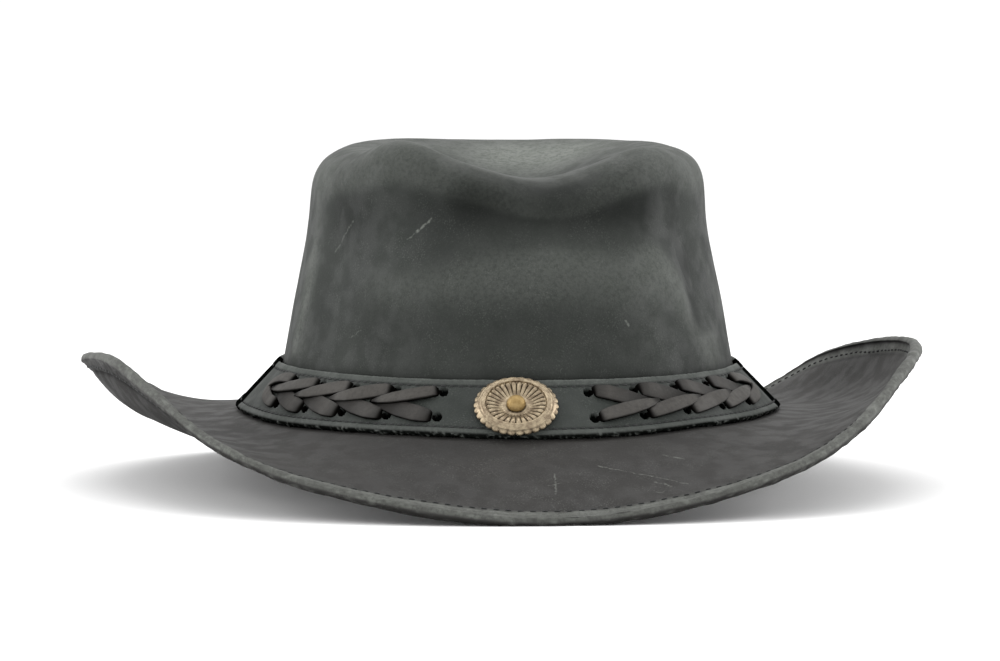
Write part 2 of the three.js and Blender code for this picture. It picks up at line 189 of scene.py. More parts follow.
def pixel_ray(pixel):
    """Start and direction of the line of sight through a pixel of the photograph."""
    forward = (camera_aim() - camera_place()).normalized()
    right = forward.cross(Vector((0, 0, 1))).normalized()
    up = right.cross(forward)
    across = (pixel[0] - PHOTO_WIDTH / 2) / FOCAL_PIXELS
    down = (pixel[1] - PHOTO_HEIGHT / 2) / FOCAL_PIXELS
    return camera_place(), (forward + right * across - up * down).normalized()


# Meshes

def link_piece(name, mesh):
    piece = bpy.data.objects.new(name, mesh)
    bpy.context.scene.collection.objects.link(piece)
    return piece


def mesh_piece(name, corners, faces):
    """A smooth mesh object from corners in millimetres."""
    mesh = bpy.data.meshes.new(name)
    mesh.from_pydata((np.asarray(corners) * MM).tolist(), [], faces)
    mesh.validate()
    mesh.polygons.foreach_set("use_smooth", [True] * len(mesh.polygons))
    return link_piece(name, mesh)


def mesh_corners(mesh):
    values = np.empty(3 * len(mesh.vertices))
    mesh.vertices.foreach_get("co", values)
    return values.reshape(-1, 3) / MM


def corners_of(piece):
    return mesh_corners(piece.data)


def normals_of(piece):
    values = np.empty(3 * len(piece.data.vertices))
    piece.data.vertex_normals.foreach_get("vector", values)
    return values.reshape(-1, 3)


def move_corners(piece, corners):
    piece.data.vertices.foreach_set("co", (corners * MM).ravel())
    piece.data.update()


def mark(piece, name, values):
    """A named number at each corner, which the materials read."""
    attribute = piece.data.attributes.new(name, "FLOAT", "POINT")
    attribute.data.foreach_set("value", np.asarray(values, dtype=float))


def dress(piece, slot, material, *nodes):
    piece.data.materials.clear()
    piece.data.materials.append(material)
    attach(piece, BODY)
    if nodes:
        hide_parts(*nodes)


def grid_faces(rows, columns, closed_rows=False, closed_columns=False, start=0):
    """Quads between a grid's corners, which are numbered along each row in turn."""
    faces = []
    for row in range(rows if closed_rows else rows - 1):
        for column in range(columns if closed_columns else columns - 1):
            after_row = (row + 1) % rows
            after_column = (column + 1) % columns
            faces.append((
                start + row * columns + column,
                start + row * columns + after_column,
                start + after_row * columns + after_column,
                start + after_row * columns + column,
            ))
    return faces


def tube_faces(rings, sides, start=0):
    """Quads round a tube of rings, and a face over either end."""
    faces = grid_faces(rings, sides, closed_columns=True, start=start)
    faces.append(tuple(start + side for side in reversed(range(sides))))
    faces.append(tuple(start + (rings - 1) * sides + side for side in range(sides)))
    return faces


def read_between(rows, known, at, period=None):
    """Rows of places read off between where they are known."""
    return np.stack([np.interp(at, known, rows[:, axis], period=period) for axis in range(3)], axis=-1)


ROUNDING_PASSES = 3
ROUNDING_SHARE = 0.8


def evaluated_corners(piece):
    """The corners of a piece with its rounding on."""
    bpy.context.view_layer.update()
    return mesh_corners(piece.evaluated_get(bpy.context.evaluated_depsgraph_get()).data)


def finer_copy(name, node, levels):
    """A piece with a node's own shape, its facets joined to quads and rounded by subdivision.

    The rounding draws corners inwards, so they are first set out until they end where they were.
    """
    shape = bmesh.new()
    shape.from_mesh(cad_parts[node].data)
    bmesh.ops.remove_doubles(shape, verts=shape.verts, dist=1e-6)
    bmesh.ops.join_triangles(
        shape,
        faces=shape.faces,
        angle_face_threshold=math.pi,
        angle_shape_threshold=math.pi,
    )
    coarse = bpy.data.meshes.new(name)
    shape.to_mesh(coarse)
    shape.free()
    piece = link_piece(name, coarse)
    modifier = piece.modifiers.new("rounding", "SUBSURF")
    modifier.levels = levels
    wanted = corners_of(piece)
    for _ in range(ROUNDING_PASSES):
        rounded = evaluated_corners(piece)[:len(wanted)]
        move_corners(piece, corners_of(piece) + ROUNDING_SHARE * (wanted - rounded))
    bpy.context.view_layer.update()
    fine = bpy.data.meshes.new_from_object(piece.evaluated_get(bpy.context.evaluated_depsgraph_get()))
    piece.modifiers.clear()
    piece.data = fine
    fine.polygons.foreach_set("use_smooth", [True] * len(fine.polygons))
    fine.materials.clear()
    return piece


def surface_tree(piece):
    return BVHTree.FromPolygons(
        [Vector(corner) for corner in corners_of(piece)],
        [tuple(face.vertices) for face in piece.data.polygons],
    )


def on_surface(tree, pixel):
    """Where the line of sight through a pixel meets a surface."""
    start, direction = pixel_ray(pixel)
    place = tree.ray_cast(start, direction)[0]
    if place is None:
        raise ValueError(f"pixel {pixel} misses the piece")
    return place


# Materials

class Nodes:
    """One material's nodes, with a call for each kind that it needs."""

    def __init__(self, name):
        self.material = bpy.data.materials.new(name)
        self.material.use_nodes = True
        self.tree = self.material.node_tree
        self.shader = self.tree.nodes["Principled BSDF"]
        self.place = self.add("TexCoord").outputs["Object"]
        self.wavering = None

    def add(self, kind, **settings):
        node = self.tree.nodes.new("ShaderNode" + kind)
        for key, value in settings.items():
            setattr(node, key, value)
        return node

    def feed(self, socket, value):
        if isinstance(value, bpy.types.NodeSocket):
            self.tree.links.new(value, socket)
        else:
            socket.default_value = value

    def scaled(self, sizes):
        node = self.add("VectorMath", operation="MULTIPLY")
        self.feed(node.inputs[0], self.place)
        node.inputs[1].default_value = sizes
        return node.outputs[0]

    def noise(self, size_mm, detail=2.0, roughness=0.5, distortion=0.0):
        node = self.add("TexNoise")
        self.feed(node.inputs["Vector"], self.place)
        node.inputs["Scale"].default_value = 1 / (size_mm * MM)
        node.inputs["Detail"].default_value = detail
        node.inputs["Roughness"].default_value = roughness
        node.inputs["Distortion"].default_value = distortion
        return node.outputs["Fac"]

    def corner_value(self, name):
        return self.add("Attribute", attribute_name=name).outputs["Fac"]

    def span(self, value, low, high, to_low=0.0, to_high=1.0):
        node = self.add("MapRange", interpolation_type="SMOOTHSTEP")
        for socket, number in zip(node.inputs[:5], (value, low, high, to_low, to_high)):
            self.feed(socket, number)
        return node.outputs[0]

    def math(self, operation, first, second=0.0):
        node = self.add("Math", operation=operation)
        self.feed(node.inputs[0], first)
        self.feed(node.inputs[1], second)
        return node.outputs[0]

    def mix(self, amount, first, second):
        node = self.add("Mix", data_type="RGBA")
        self.feed(node.inputs["Factor"], amount)
        self.feed(node.inputs[6], first if isinstance(first, bpy.types.NodeSocket) else (*first, 1))
        self.feed(node.inputs[7], second if isinstance(second, bpy.types.NodeSocket) else (*second, 1))
        return node.outputs[2]

    def bump(self, height, depth_mm, under=None):
        node = self.add("Bump")
        node.inputs["Distance"].default_value = depth_mm * MM
        self.feed(node.inputs["Height"], height)
        if under is not None:
            self.feed(node.inputs["Normal"], under)
        return node.outputs["Normal"]

    def wobbled(self):
        """The place on the piece, drawn about a little so that straight marks waver."""
        if self.wavering is None:
            waves = self.add("TexNoise")
            self.feed(waves.inputs["Vector"], self.place)
            waves.inputs["Scale"].default_value = 1 / (2.6 * MM)
            node = self.add("VectorMath", operation="MULTIPLY_ADD")
            self.feed(node.inputs[0], waves.outputs["Color"])
            node.inputs[1].default_value = (1.6 * MM, 1.6 * MM, 1.6 * MM)
            self.feed(node.inputs[2], self.place)
            shift = self.add("VectorMath", operation="SUBTRACT")
            self.feed(shift.inputs[0], node.outputs[0])
            shift.inputs[1].default_value = (0.8 * MM, 0.8 * MM, 0.8 * MM)
            self.wavering = shift.outputs[0]
        return self.wavering

    def scratch(self, start, end, width):
        """1 along a fine line between two places, 0 beside it."""
        along = end - start
        offset = self.add("VectorMath", operation="SUBTRACT")
        self.feed(offset.inputs[0], self.wobbled())
        offset.inputs[1].default_value = start * MM
        share = self.add("VectorMath", operation="DOT_PRODUCT")
        self.feed(share.inputs[0], offset.outputs[0])
        share.inputs[1].default_value = along / (along.length_squared * MM)
        clamped = self.add("Clamp")
        self.feed(clamped.inputs[0], share.outputs["Value"])
        nearest = self.add("VectorMath", operation="SCALE")
        nearest.inputs[0].default_value = along * MM
        self.feed(nearest.inputs["Scale"], clamped.outputs[0])
        apart = self.add("VectorMath", operation="DISTANCE")
        self.feed(apart.inputs[0], offset.outputs[0])
        self.feed(apart.inputs[1], nearest.outputs[0])
        ragged = self.span(self.noise(1.2), 0.3, 0.7, 0, width * 0.6 * MM)
        frayed = self.math("ADD", apart.outputs["Value"], ragged)
        return self.span(frayed, width * 0.3 * MM, width * MM, 1.0, 0.0)


def leather(name, dark, middle, light, marks=(), speckle=0.16, clouds=0.5, patches=0.2):
    """Oiled leather: softly clouded, rubbed lighter and given painted highlight where its corners say so,
    darkened with painted shade where they say so, with a fine grain.
    """
    n = Nodes(name)
    cloudy = n.span(n.noise(34, detail=3, roughness=0.5, distortion=0.3), 0.32, 0.68)
    patchy = n.span(n.noise(9, detail=3, roughness=0.5), 0.3, 0.7)
    base = n.mix(n.math("MULTIPLY", cloudy, clouds), dark, middle)
    base = n.mix(n.math("MULTIPLY", patchy, patches), base, middle)
    mottle = n.span(n.noise(1.6, detail=4, roughness=0.7), 0.3, 0.62, 0.45, 1.0)
    worn_and_lit = n.math("MULTIPLY", n.corner_value("wear_and_highlight"), mottle)
    base = n.mix(worn_and_lit, base, light)
    bright = n.span(n.noise(0.6, detail=2, roughness=0.6), 0.52, 0.7)
    gathered = n.span(n.noise(11, detail=3, roughness=0.6), 0.42, 0.68, 0.35 * speckle, 1.6 * speckle)
    base = n.mix(n.math("MULTIPLY", bright, gathered), base, light)
    for place, end, width, strength in marks:
        base = n.mix(n.math("MULTIPLY", n.scratch(place, end, width), strength), base, light)
    # Painted shade: the shade corner value darkens the colour towards near black
    shaded = n.mix(n.corner_value("shade"), base, tuple(0.1 * channel for channel in dark))
    n.feed(n.shader.inputs["Base Color"], shaded)
    n.feed(n.shader.inputs["Roughness"], n.span(patchy, 0.0, 1.0, 0.62, 0.78))
    # Where shade is painted, its reflection is taken away as well, so that it reads black
    n.feed(n.shader.inputs["Specular IOR Level"], n.span(n.corner_value("shade"), 0.0, 1.0, 0.3, 0.0))
    relief = n.bump(n.noise(0.7, detail=3, roughness=0.6), 0.05)
    n.feed(n.shader.inputs["Normal"], relief)
    return n.material


def thread_material():
    n = Nodes("thread")
    colour = n.mix(n.noise(0.5), (0.004, 0.0045, 0.0045), (0.012, 0.013, 0.0125))
    n.feed(n.shader.inputs["Base Color"], colour)
    n.shader.inputs["Roughness"].default_value = 0.75
    n.feed(n.shader.inputs["Normal"], n.bump(n.noise(0.25), 0.05))
    return n.material


def brass_material(name, dark, middle, light, roughness, age):
    """Aged brass: bare on its crests, tarnished in its hollows."""
    n = Nodes(name)
    hollow = n.corner_value("hollow")
    blotch = n.noise(2.2, detail=4, roughness=0.65)
    base = n.mix(n.span(blotch, 0.35, 0.65), middle, light)
    tarnish = n.math("MULTIPLY", n.span(hollow, 0.15, 0.9), age)
    base = n.mix(tarnish, base, dark)
    n.feed(n.shader.inputs["Base Color"], base)
    n.shader.inputs["Metallic"].default_value = 0.85
    dulled = n.span(n.math("ADD", hollow, blotch), 0.3, 1.5, roughness, roughness + 0.25)
    n.feed(n.shader.inputs["Roughness"], dulled)
    relief = n.bump(n.noise(0.6, detail=3, roughness=0.6), 0.06)
    n.feed(n.shader.inputs["Normal"], n.bump(n.noise(3, detail=2), 0.12, relief))
    return n.material


# Crown

# Soft folds in the crown's wall, by their ends in the photograph's pixels: how wide they reach
# and how far they stand out, or in where that is negative.
CROWN_FOLDS = [
    {"start": (657, 262), "end": (708, 345), "reach": 11, "height": 1.1},
    {"start": (686, 262), "end": (697, 310), "reach": 10, "height": -1.2},
    {"start": (668, 190), "end": (672, 232), "reach": 11, "height": -0.5},
    {"start": (314, 262), "end": (297, 342), "reach": 8, "height": 0.7},
    {"start": (342, 235), "end": (328, 335), "reach": 11, "height": -0.7},
    {"start": (345, 205), "end": (470, 198), "reach": 12, "height": -0.5},
    {"start": (560, 206), "end": (655, 204), "reach": 12, "height": -0.7},
]

# Soft zones of tone on the crown, by their ends in the photograph's pixels: painted highlight on its
# ridges, its lit sides and its lit dish, and painted shade in its dents, in the hollow under its front
# crest and low on its front where the tone is negative
CROWN_LIGHT_AND_SHADE = [
    {"start": (470, 200), "end": (640, 212), "reach": 13, "tone": -0.55},
    {"start": (600, 208), "end": (646, 214), "reach": 9, "tone": -0.35},
    {"start": (672, 190), "end": (672, 236), "reach": 8, "tone": -0.3},
    {"start": (345, 215), "end": (450, 205), "reach": 12, "tone": -0.3},
    {"start": (345, 170), "end": (430, 176), "reach": 9, "tone": -0.2},
    {"start": (480, 254), "end": (650, 252), "reach": 12, "tone": 0.1},
    {"start": (380, 330), "end": (640, 340), "reach": 16, "tone": -0.25},
    {"start": (684, 262), "end": (696, 318), "reach": 8, "tone": -0.4},
    {"start": (664, 268), "end": (706, 342), "reach": 4, "tone": 0.12},
    {"start": (699, 250), "end": (720, 306), "reach": 3, "tone": 0.14},
    {"start": (319, 200), "end": (302, 345), "reach": 5, "tone": 0.2},
    {"start": (313, 278), "end": (295, 346), "reach": 3, "tone": 0.3},
    {"start": (512, 156), "end": (548, 157), "reach": 20, "tone": 1.0},
]

# Scratches and rubbed marks, by their ends in the photograph's pixels
CROWN_SCRATCHES = [
    {"start": (408, 239), "end": (419, 230), "width": 0.8, "strength": 0.55},
    {"start": (418, 231), "end": (431, 220), "width": 1.1, "strength": 0.9},
    {"start": (335, 252), "end": (344, 237), "width": 0.7, "strength": 0.35},
    {"start": (344, 236), "end": (353, 221), "width": 0.8, "strength": 0.45},
    {"start": (352, 337), "end": (360, 331), "width": 0.7, "strength": 0.35},
    {"start": (626, 321), "end": (628, 325), "width": 0.8, "strength": 0.8},
]
BRIM_SCRATCHES = [
    {"start": (598, 466), "end": (652, 476), "width": 0.6, "strength": 0.6},
    {"start": (652, 476), "end": (688, 484), "width": 0.5, "strength": 0.4},
    {"start": (655, 482), "end": (671, 486), "width": 0.7, "strength": 0.6},
    {"start": (664, 455), "end": (684, 459), "width": 0.6, "strength": 0.6},
    {"start": (555, 474), "end": (556, 494), "width": 0.7, "strength": 0.45},
    {"start": (549, 486), "end": (561, 483), "width": 0.6, "strength": 0.4},
    {"start": (656, 492), "end": (664, 493), "width": 0.7, "strength": 0.3},
]


def placed_marks(rows, tree):
    return [
        (on_surface(tree, row["start"]), on_surface(tree, row["end"]), row["width"], row["strength"])
        for row in rows
    ]


def nearness(corners, tree, row):
    """1 on the line between a row's two ends on the surface, falling to 0 beyond its reach."""
    start = np.array(on_surface(tree, row["start"]))
    along = np.array(on_surface(tree, row["end"])) - start
    share = np.clip((corners - start) @ along / (along @ along), 0, 1)
    apart = np.linalg.norm(corners - start - share[:, None] * along, axis=1)
    return bell(apart, row["reach"])


def add_folds(piece, rows):
    tree = surface_tree(piece)
    corners = corners_of(piece)
    normals = normals_of(piece)
    for row in rows:
        corners = corners + normals * (row["height"] * nearness(corners, tree, row))[:, None]
    move_corners(piece, corners)


def painted_light_and_shade(corners, rows, tree):
    """How much painted highlight and how much painted shade each corner gets for the zones it lies in."""
    paler = np.zeros(len(corners))
    darker = np.zeros(len(corners))
    for row in rows:
        strength = row["tone"] * nearness(corners, tree, row)
        paler = np.maximum(paler, strength)
        darker = np.maximum(darker, -strength)
    return paler, darker


def add_unevenness(piece, layers):
    """Gentle waves in the leather, in layers of size, height and seed."""
    corners = corners_of(piece)
    normals = normals_of(piece)
    for size, height, seed in layers:
        corners = corners + normals * (height * rough(corners, size, seed))[:, None]
    move_corners(piece, corners)


def rubbed(piece, rounds):
    """How proud each corner stands of its surroundings, in millimetres."""
    corners = corners_of(piece)
    normals = normals_of(piece)
    edges = np.array([tuple(edge.vertices) for edge in piece.data.edges])
    count = np.bincount(edges.ravel(), minlength=len(corners))[:, None]
    smooth = corners.copy()
    for _ in range(rounds):
        total = np.zeros_like(smooth)
        np.add.at(total, edges[:, 0], smooth[edges[:, 1]])
        np.add.at(total, edges[:, 1], smooth[edges[:, 0]])
        smooth = total / count
    return ((corners - smooth) * normals).sum(axis=1)


def make_crown():
    crown = finer_copy("crown_skin", "crown", 2)
    add_folds(crown, CROWN_FOLDS)
    proud = smoothstep(0.03, 0.3, rubbed(crown, 6))
    add_unevenness(crown, [(38, 0.5, 1), (14, 0.16, 2), (6, 0.05, 3)])
    corners = corners_of(crown)
    tree = surface_tree(crown)
    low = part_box("crown")[0][2] / MM
    # Painted shade at the crown's foot, under the band
    foot_shade = 0.5 * (1 - smoothstep(BAND_RISE, BAND_RISE + 5, corners[:, 2] - low))
    paler, darker = painted_light_and_shade(corners, CROWN_LIGHT_AND_SHADE, tree)
    # Rubbed ridges with the zones' painted highlight, and painted shade at the foot and in the zones
    mark(crown, "wear_and_highlight", np.clip(0.3 * proud + paler, 0, 1))
    mark(crown, "shade", np.clip(foot_shade + darker, 0, 1))
    marks = placed_marks(CROWN_SCRATCHES, tree)
    material = leather(
        "crown_leather",
        dark=(0.013, 0.0155, 0.0135),
        middle=(0.027, 0.031, 0.027),
        light=(0.13, 0.14, 0.125),
        marks=marks,
    )
    dress(crown, "crown_leather", material, "crown")
    return crown


# Brim

def make_brim():
    brim = finer_copy("brim_skin", "brim", 3)
    add_unevenness(brim, [(45, 0.5, 4), (15, 0.2, 5)])
    return brim


make_camera()
crown = make_crown()
brim = make_brim()
crown_tree = surface_tree(crown)
brim_tree = surface_tree(brim)

crown_low, crown_high = (np.array(corner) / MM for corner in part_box("crown"))
axis_x = (crown_low[0] + crown_high[0]) / 2
axis_y = (crown_low[1] + crown_high[1]) / 2
half_width = (crown_high[0] - crown_low[0]) / 2
half_length = (crown_high[1] - crown_low[1]) / 2
foot_height = crown_low[2]


def foot(angles):
    """The crown's foot in plan, at angles in degrees from the wearer's left."""
    turn = np.radians(angles)
    aside = axis_x + half_width * np.cos(turn)
    back = axis_y + half_length * np.sin(turn)
    return np.stack([aside, back, 0 * turn], axis=-1)


def straight_out(angles):
    turn = np.radians(angles)
    return unit(np.stack([half_length * np.cos(turn), half_width * np.sin(turn), 0 * turn], axis=-1))


def round_smoothed(values, reach):
    """Rows of a closed round averaged with their neighbours."""
    weights = np.hanning(2 * reach + 3)[1:-1]
    weights = weights / weights.sum()
    total = np.zeros_like(values)
    for step, weight in zip(range(-reach, reach + 1), weights):
        total += weight * np.roll(values, step, axis=0)
    return total


# Rim

RIM_STEPS = 720
rim_angles = np.arange(RIM_STEPS) * FULL_TURN / RIM_STEPS - 180


SEARCH_FROM = 30
SEARCH_TO = 80
SEARCH_STEPS = 101


def brim_profile(angle):
    """Points of the brim's upper face going straight out from the foot, as far as it reaches."""
    out = straight_out(np.array(angle))
    start = foot(np.array(angle))
    points = []
    for distance in np.linspace(SEARCH_FROM, SEARCH_TO, SEARCH_STEPS):
        place = Vector(start + out * distance)
        place.z = OVER_THE_HAT
        hit = brim_tree.ray_cast(place, Vector((0, 0, -1)))[0]
        if hit is not None:
            points.append(hit)
    return np.array(points)


def rim_curves(inset):
    """The brim's outermost line, and the line on its upper face that lies inside it."""
    edge, inside = [], []
    for angle in rim_angles:
        points = brim_profile(angle)
        lengths = np.linalg.norm(np.diff(points[::-1], axis=0), axis=1).cumsum()
        index = np.searchsorted(lengths, inset)
        edge.append(points[-1])
        inside.append(points[::-1][index + 1])
    return round_smoothed(np.array(edge), 4), round_smoothed(np.array(inside), 9)


rim_edge, rim_stitch_line = rim_curves(RIM_STITCH_INSET)


def near_rim(corners):
    """Each corner's distance from the rim's outermost line."""
    tree = KDTree(len(rim_edge))
    for index, point in enumerate(rim_edge):
        tree.insert(Vector(point), index)
    tree.balance()
    return np.array([tree.find(Vector(corner))[2] for corner in corners])


def finish_brim():
    corners = corners_of(brim)
    normals = normals_of(brim)
    apart = near_rim(corners)
    upward = smoothstep(-0.15, 0.3, normals[:, 2])
    strip = 1 - smoothstep(RIM_STITCH_INSET - 1.2, RIM_STITCH_INSET + 0.2, apart)
    groove = bell(apart - RIM_STITCH_INSET, 0.8)
    cut = 1 - smoothstep(2.6, 3.6, apart)
    coarse = rough(corners, 6, 8)
    fuzz = rough(corners, 1.5, 9)
    lumps = 0.3 * coarse + 0.14 * rough(corners, 2.6, 10)
    corners = corners + normals * (strip * lumps + 0.16 * cut * fuzz - 0.3 * groove)[:, None]
    corners[:, 2] = np.maximum(corners[:, 2], 0)
    move_corners(brim, corners)
    underneath = smoothstep(0.1, -0.5, normals[:, 2])
    edge_line = bell(apart - RIM_STITCH_INSET + 1.6, 1.0)
    # The rim strip is paler only where it faces up, rubbed wear and painted light together; the cut edge's
    # fibres are paler
    paler = strip * upward * (0.42 + 0.22 * coarse) + 0.3 * cut * smoothstep(0.05, 0.5, fuzz)
    # Painted highlight on the rolled edge just outside the stitches, where it faces up
    paler = paler + 0.2 * edge_line * upward
    # Painted shade under the brim and in the stitch groove
    darker = 0.5 * underneath * (1 - 0.6 * cut * smoothstep(0.1, 0.6, fuzz)) + 0.3 * groove
    mark(brim, "wear_and_highlight", np.clip(paler, 0, 1))
    mark(brim, "shade", np.clip(darker, 0, 1))
    marks = placed_marks(BRIM_SCRATCHES, brim_tree)
    material = leather(
        "brim_leather",
        dark=(0.0175, 0.0165, 0.0155),
        middle=(0.031, 0.029, 0.0265),
        light=(0.15, 0.158, 0.142),
        marks=marks,
        clouds=0.3,
        patches=0.06,
    )
    dress(brim, "brim_leather", material, "brim")


finish_brim()


# Stitches

def stitch_row(line, normals, pitch, length, closed):
    """Corners and faces of short threads laid along a line, each with both ends going in."""
    steps = np.linalg.norm(np.diff(line, axis=0), axis=1)
    travelled = np.concatenate([[0], steps.cumsum()])
    count = int(round(travelled[-1] / pitch))
    corners, faces = [], []
    stations = np.linspace(-0.5, 0.5, THREAD_RINGS)
    sides = THREAD_SIDES
    for index in range(count):
        middle = (index + 0.5) * travelled[-1] / count
        at = middle + stations * length
        if closed:
            at = at % travelled[-1]
        centre = read_between(line, travelled, at)
        up = unit(read_between(normals, travelled, at))
        run = unit(np.repeat((centre[-1] - centre[0])[None], len(stations), axis=0))
        across = unit(np.cross(run, up))
        swell = np.sqrt(np.clip(1 - (2 * stations) ** 6, 0.02, 1))
        sink = -0.75 * np.abs(2 * stations) ** 3 * STITCH_RADIUS
        start = len(corners) * sides
        for place, above, side, size, low in zip(centre, up, across, swell, sink):
            turn = np.arange(sides) * 2 * np.pi / sides
            ring = (np.cos(turn)[:, None] * side + np.sin(turn)[:, None] * above) * STITCH_RADIUS * size
            corners.append(place + above * low + ring)
        faces.extend(tube_faces(len(stations), sides, start))
    return np.concatenate(corners), faces


def joined(parts):
    """Several sets of corners and faces as one."""
    corners, faces, start = [], [], 0
    for some_corners, some_faces in parts:
        corners.append(some_corners)
        faces.extend(tuple(corner + start for corner in face) for face in some_faces)
        start += len(some_corners)
    return np.concatenate(corners), faces


def surface_normals(tree, points):
    return np.array([tree.find_nearest(Vector(point))[1] for point in points])


thread = thread_material()


def make_rim_stitches():
    tree = surface_tree(brim)
    upper = np.array([tree.find_nearest(Vector(point))[0] for point in rim_stitch_line])
    closed = np.concatenate([upper, upper[:1]])
    normals = surface_normals(tree, closed)
    rows = [stitch_row(closed, normals, RIM_STITCH_PITCH, RIM_STITCH_LENGTH, True)]
    below = []
    for point, normal in zip(closed, normals):
        hit = tree.ray_cast(Vector(point - normal * 0.5), Vector(-normal))[0]
        below.append(hit if hit is not None else Vector(point - normal * 2.4))
    rows.append(stitch_row(np.array(below), -normals, RIM_STITCH_PITCH, RIM_STITCH_LENGTH, True))
    piece = mesh_piece("rim_stitches", *joined(rows))
    dress(piece, "brim_leather", thread)


make_rim_stitches()


# Band

class Band:
    """The band's surface, worked out from what it leans on: the crown above and the brim below."""

    step = 0.5

    def __init__(self):
        self.places = np.arange(-180, 180, self.step)
        angles = -90 + BAND_TURN + self.places
        top = np.array([self.on_crown(angle) for angle in angles])
        bottom = np.array([self.on_brim(angle) for angle in angles])
        reach = int(3 / self.step)
        self.top = round_smoothed(top, reach)
        self.bottom = round_smoothed(bottom, reach)
        middle = (self.top + self.bottom) / 2
        forward = unit(np.roll(middle, -1, axis=0) - np.roll(middle, 1, axis=0))
        rising = unit(self.top - self.bottom)
        self.outward = unit(np.cross(forward, rising))
        self.slope = np.linalg.norm(self.top - self.bottom, axis=1).mean()
        self.degree = np.linalg.norm(middle - np.roll(middle, 1, axis=0), axis=1).mean() / self.step

    def on_crown(self, angle):
        height = foot_height + BAND_RISE
        aim = Vector((axis_x, axis_y, height))
        out = Vector(foot(np.array(angle))) - Vector((axis_x, axis_y, 0))
        hit, normal = crown_tree.ray_cast(aim + out * 2, -out.normalized())[:2]
        return np.array(hit + normal * GAP)

    def on_brim(self, angle):
        out = straight_out(np.array(angle)) * (SEAT_MARGIN + BAND_SPREAD)
        place = Vector(foot(np.array(angle)) + out)
        place.z = OVER_THE_HAT
        hit, normal = brim_tree.ray_cast(place, Vector((0, 0, -1)))[:2]
        return np.array(hit + normal * GAP)

    def at(self, rows, places):
        return read_between(rows, self.places, np.asarray(places, dtype=float), FULL_TURN)

    def point(self, places, down, height):
        """Places in degrees round from the ornament, shares of the way down, heights above its back."""
        down = np.asarray(down, dtype=float)[..., None]
        height = np.asarray(height, dtype=float)[..., None]
        back = self.at(self.top, places) * (1 - down) + self.at(self.bottom, places) * down
        return back + self.normal(places) * height

    def normal(self, places):
        return unit(self.at(self.outward, places))


band = Band()
BOTH_SIDES = (-1, 1)
BAND_FACE = 0.9 * BAND_LEATHER


def hole_places(side):
    """The lacing's holes on one side: pair, degrees from the ornament, share of the way down."""
    for pair in range(HOLE_PAIRS):
        place = side * (LACING_START + HOLE_PITCH * pair)
        yield pair, place, UPPER_HOLES
        yield pair, place, LOWER_HOLES


# The band's cross-section from the back of its top edge over its face to the back of its lower
# edge: millimetres from the edge that it names, and height as a share of the leather's thickness
BAND_EDGE = table(
    ("inset", "height"),
    (0.0, 0.0),
    (0.0, 0.4),
    (0.05, 0.75),
    (0.2, 0.93),
    (0.5, 0.99),
    (1.2, 1.01),
    (2.0, 1.0),
    (2.5, 0.97),
    (2.8, 0.86),
    (3.05, 0.8),
    (3.4, 0.88),
)


# Where the leather is made black beside the cut ends, in degrees round from the ornament
BLACK_ENDS = [
    {"from": 78.0, "to": 92.0},
    {"from": -97.0, "to": -82.5},
]


def band_outline():
    """Rows of the band's face as shares of the way down and heights, with its middle finely divided."""
    edge = [(row["inset"] / band.slope, row["height"] * BAND_LEATHER) for row in BAND_EDGE]
    last = edge[-1][0]
    middle = np.linspace(last, 1 - last, 30)[1:-1]
    swell = 0.88 + 0.03 * np.sin(np.pi * (middle - last) / (1 - 2 * last))
    face = [(down, height * BAND_LEATHER) for down, height in zip(middle, swell)]
    return np.array(edge + face + [(1 - down, height) for down, height in reversed(edge)])


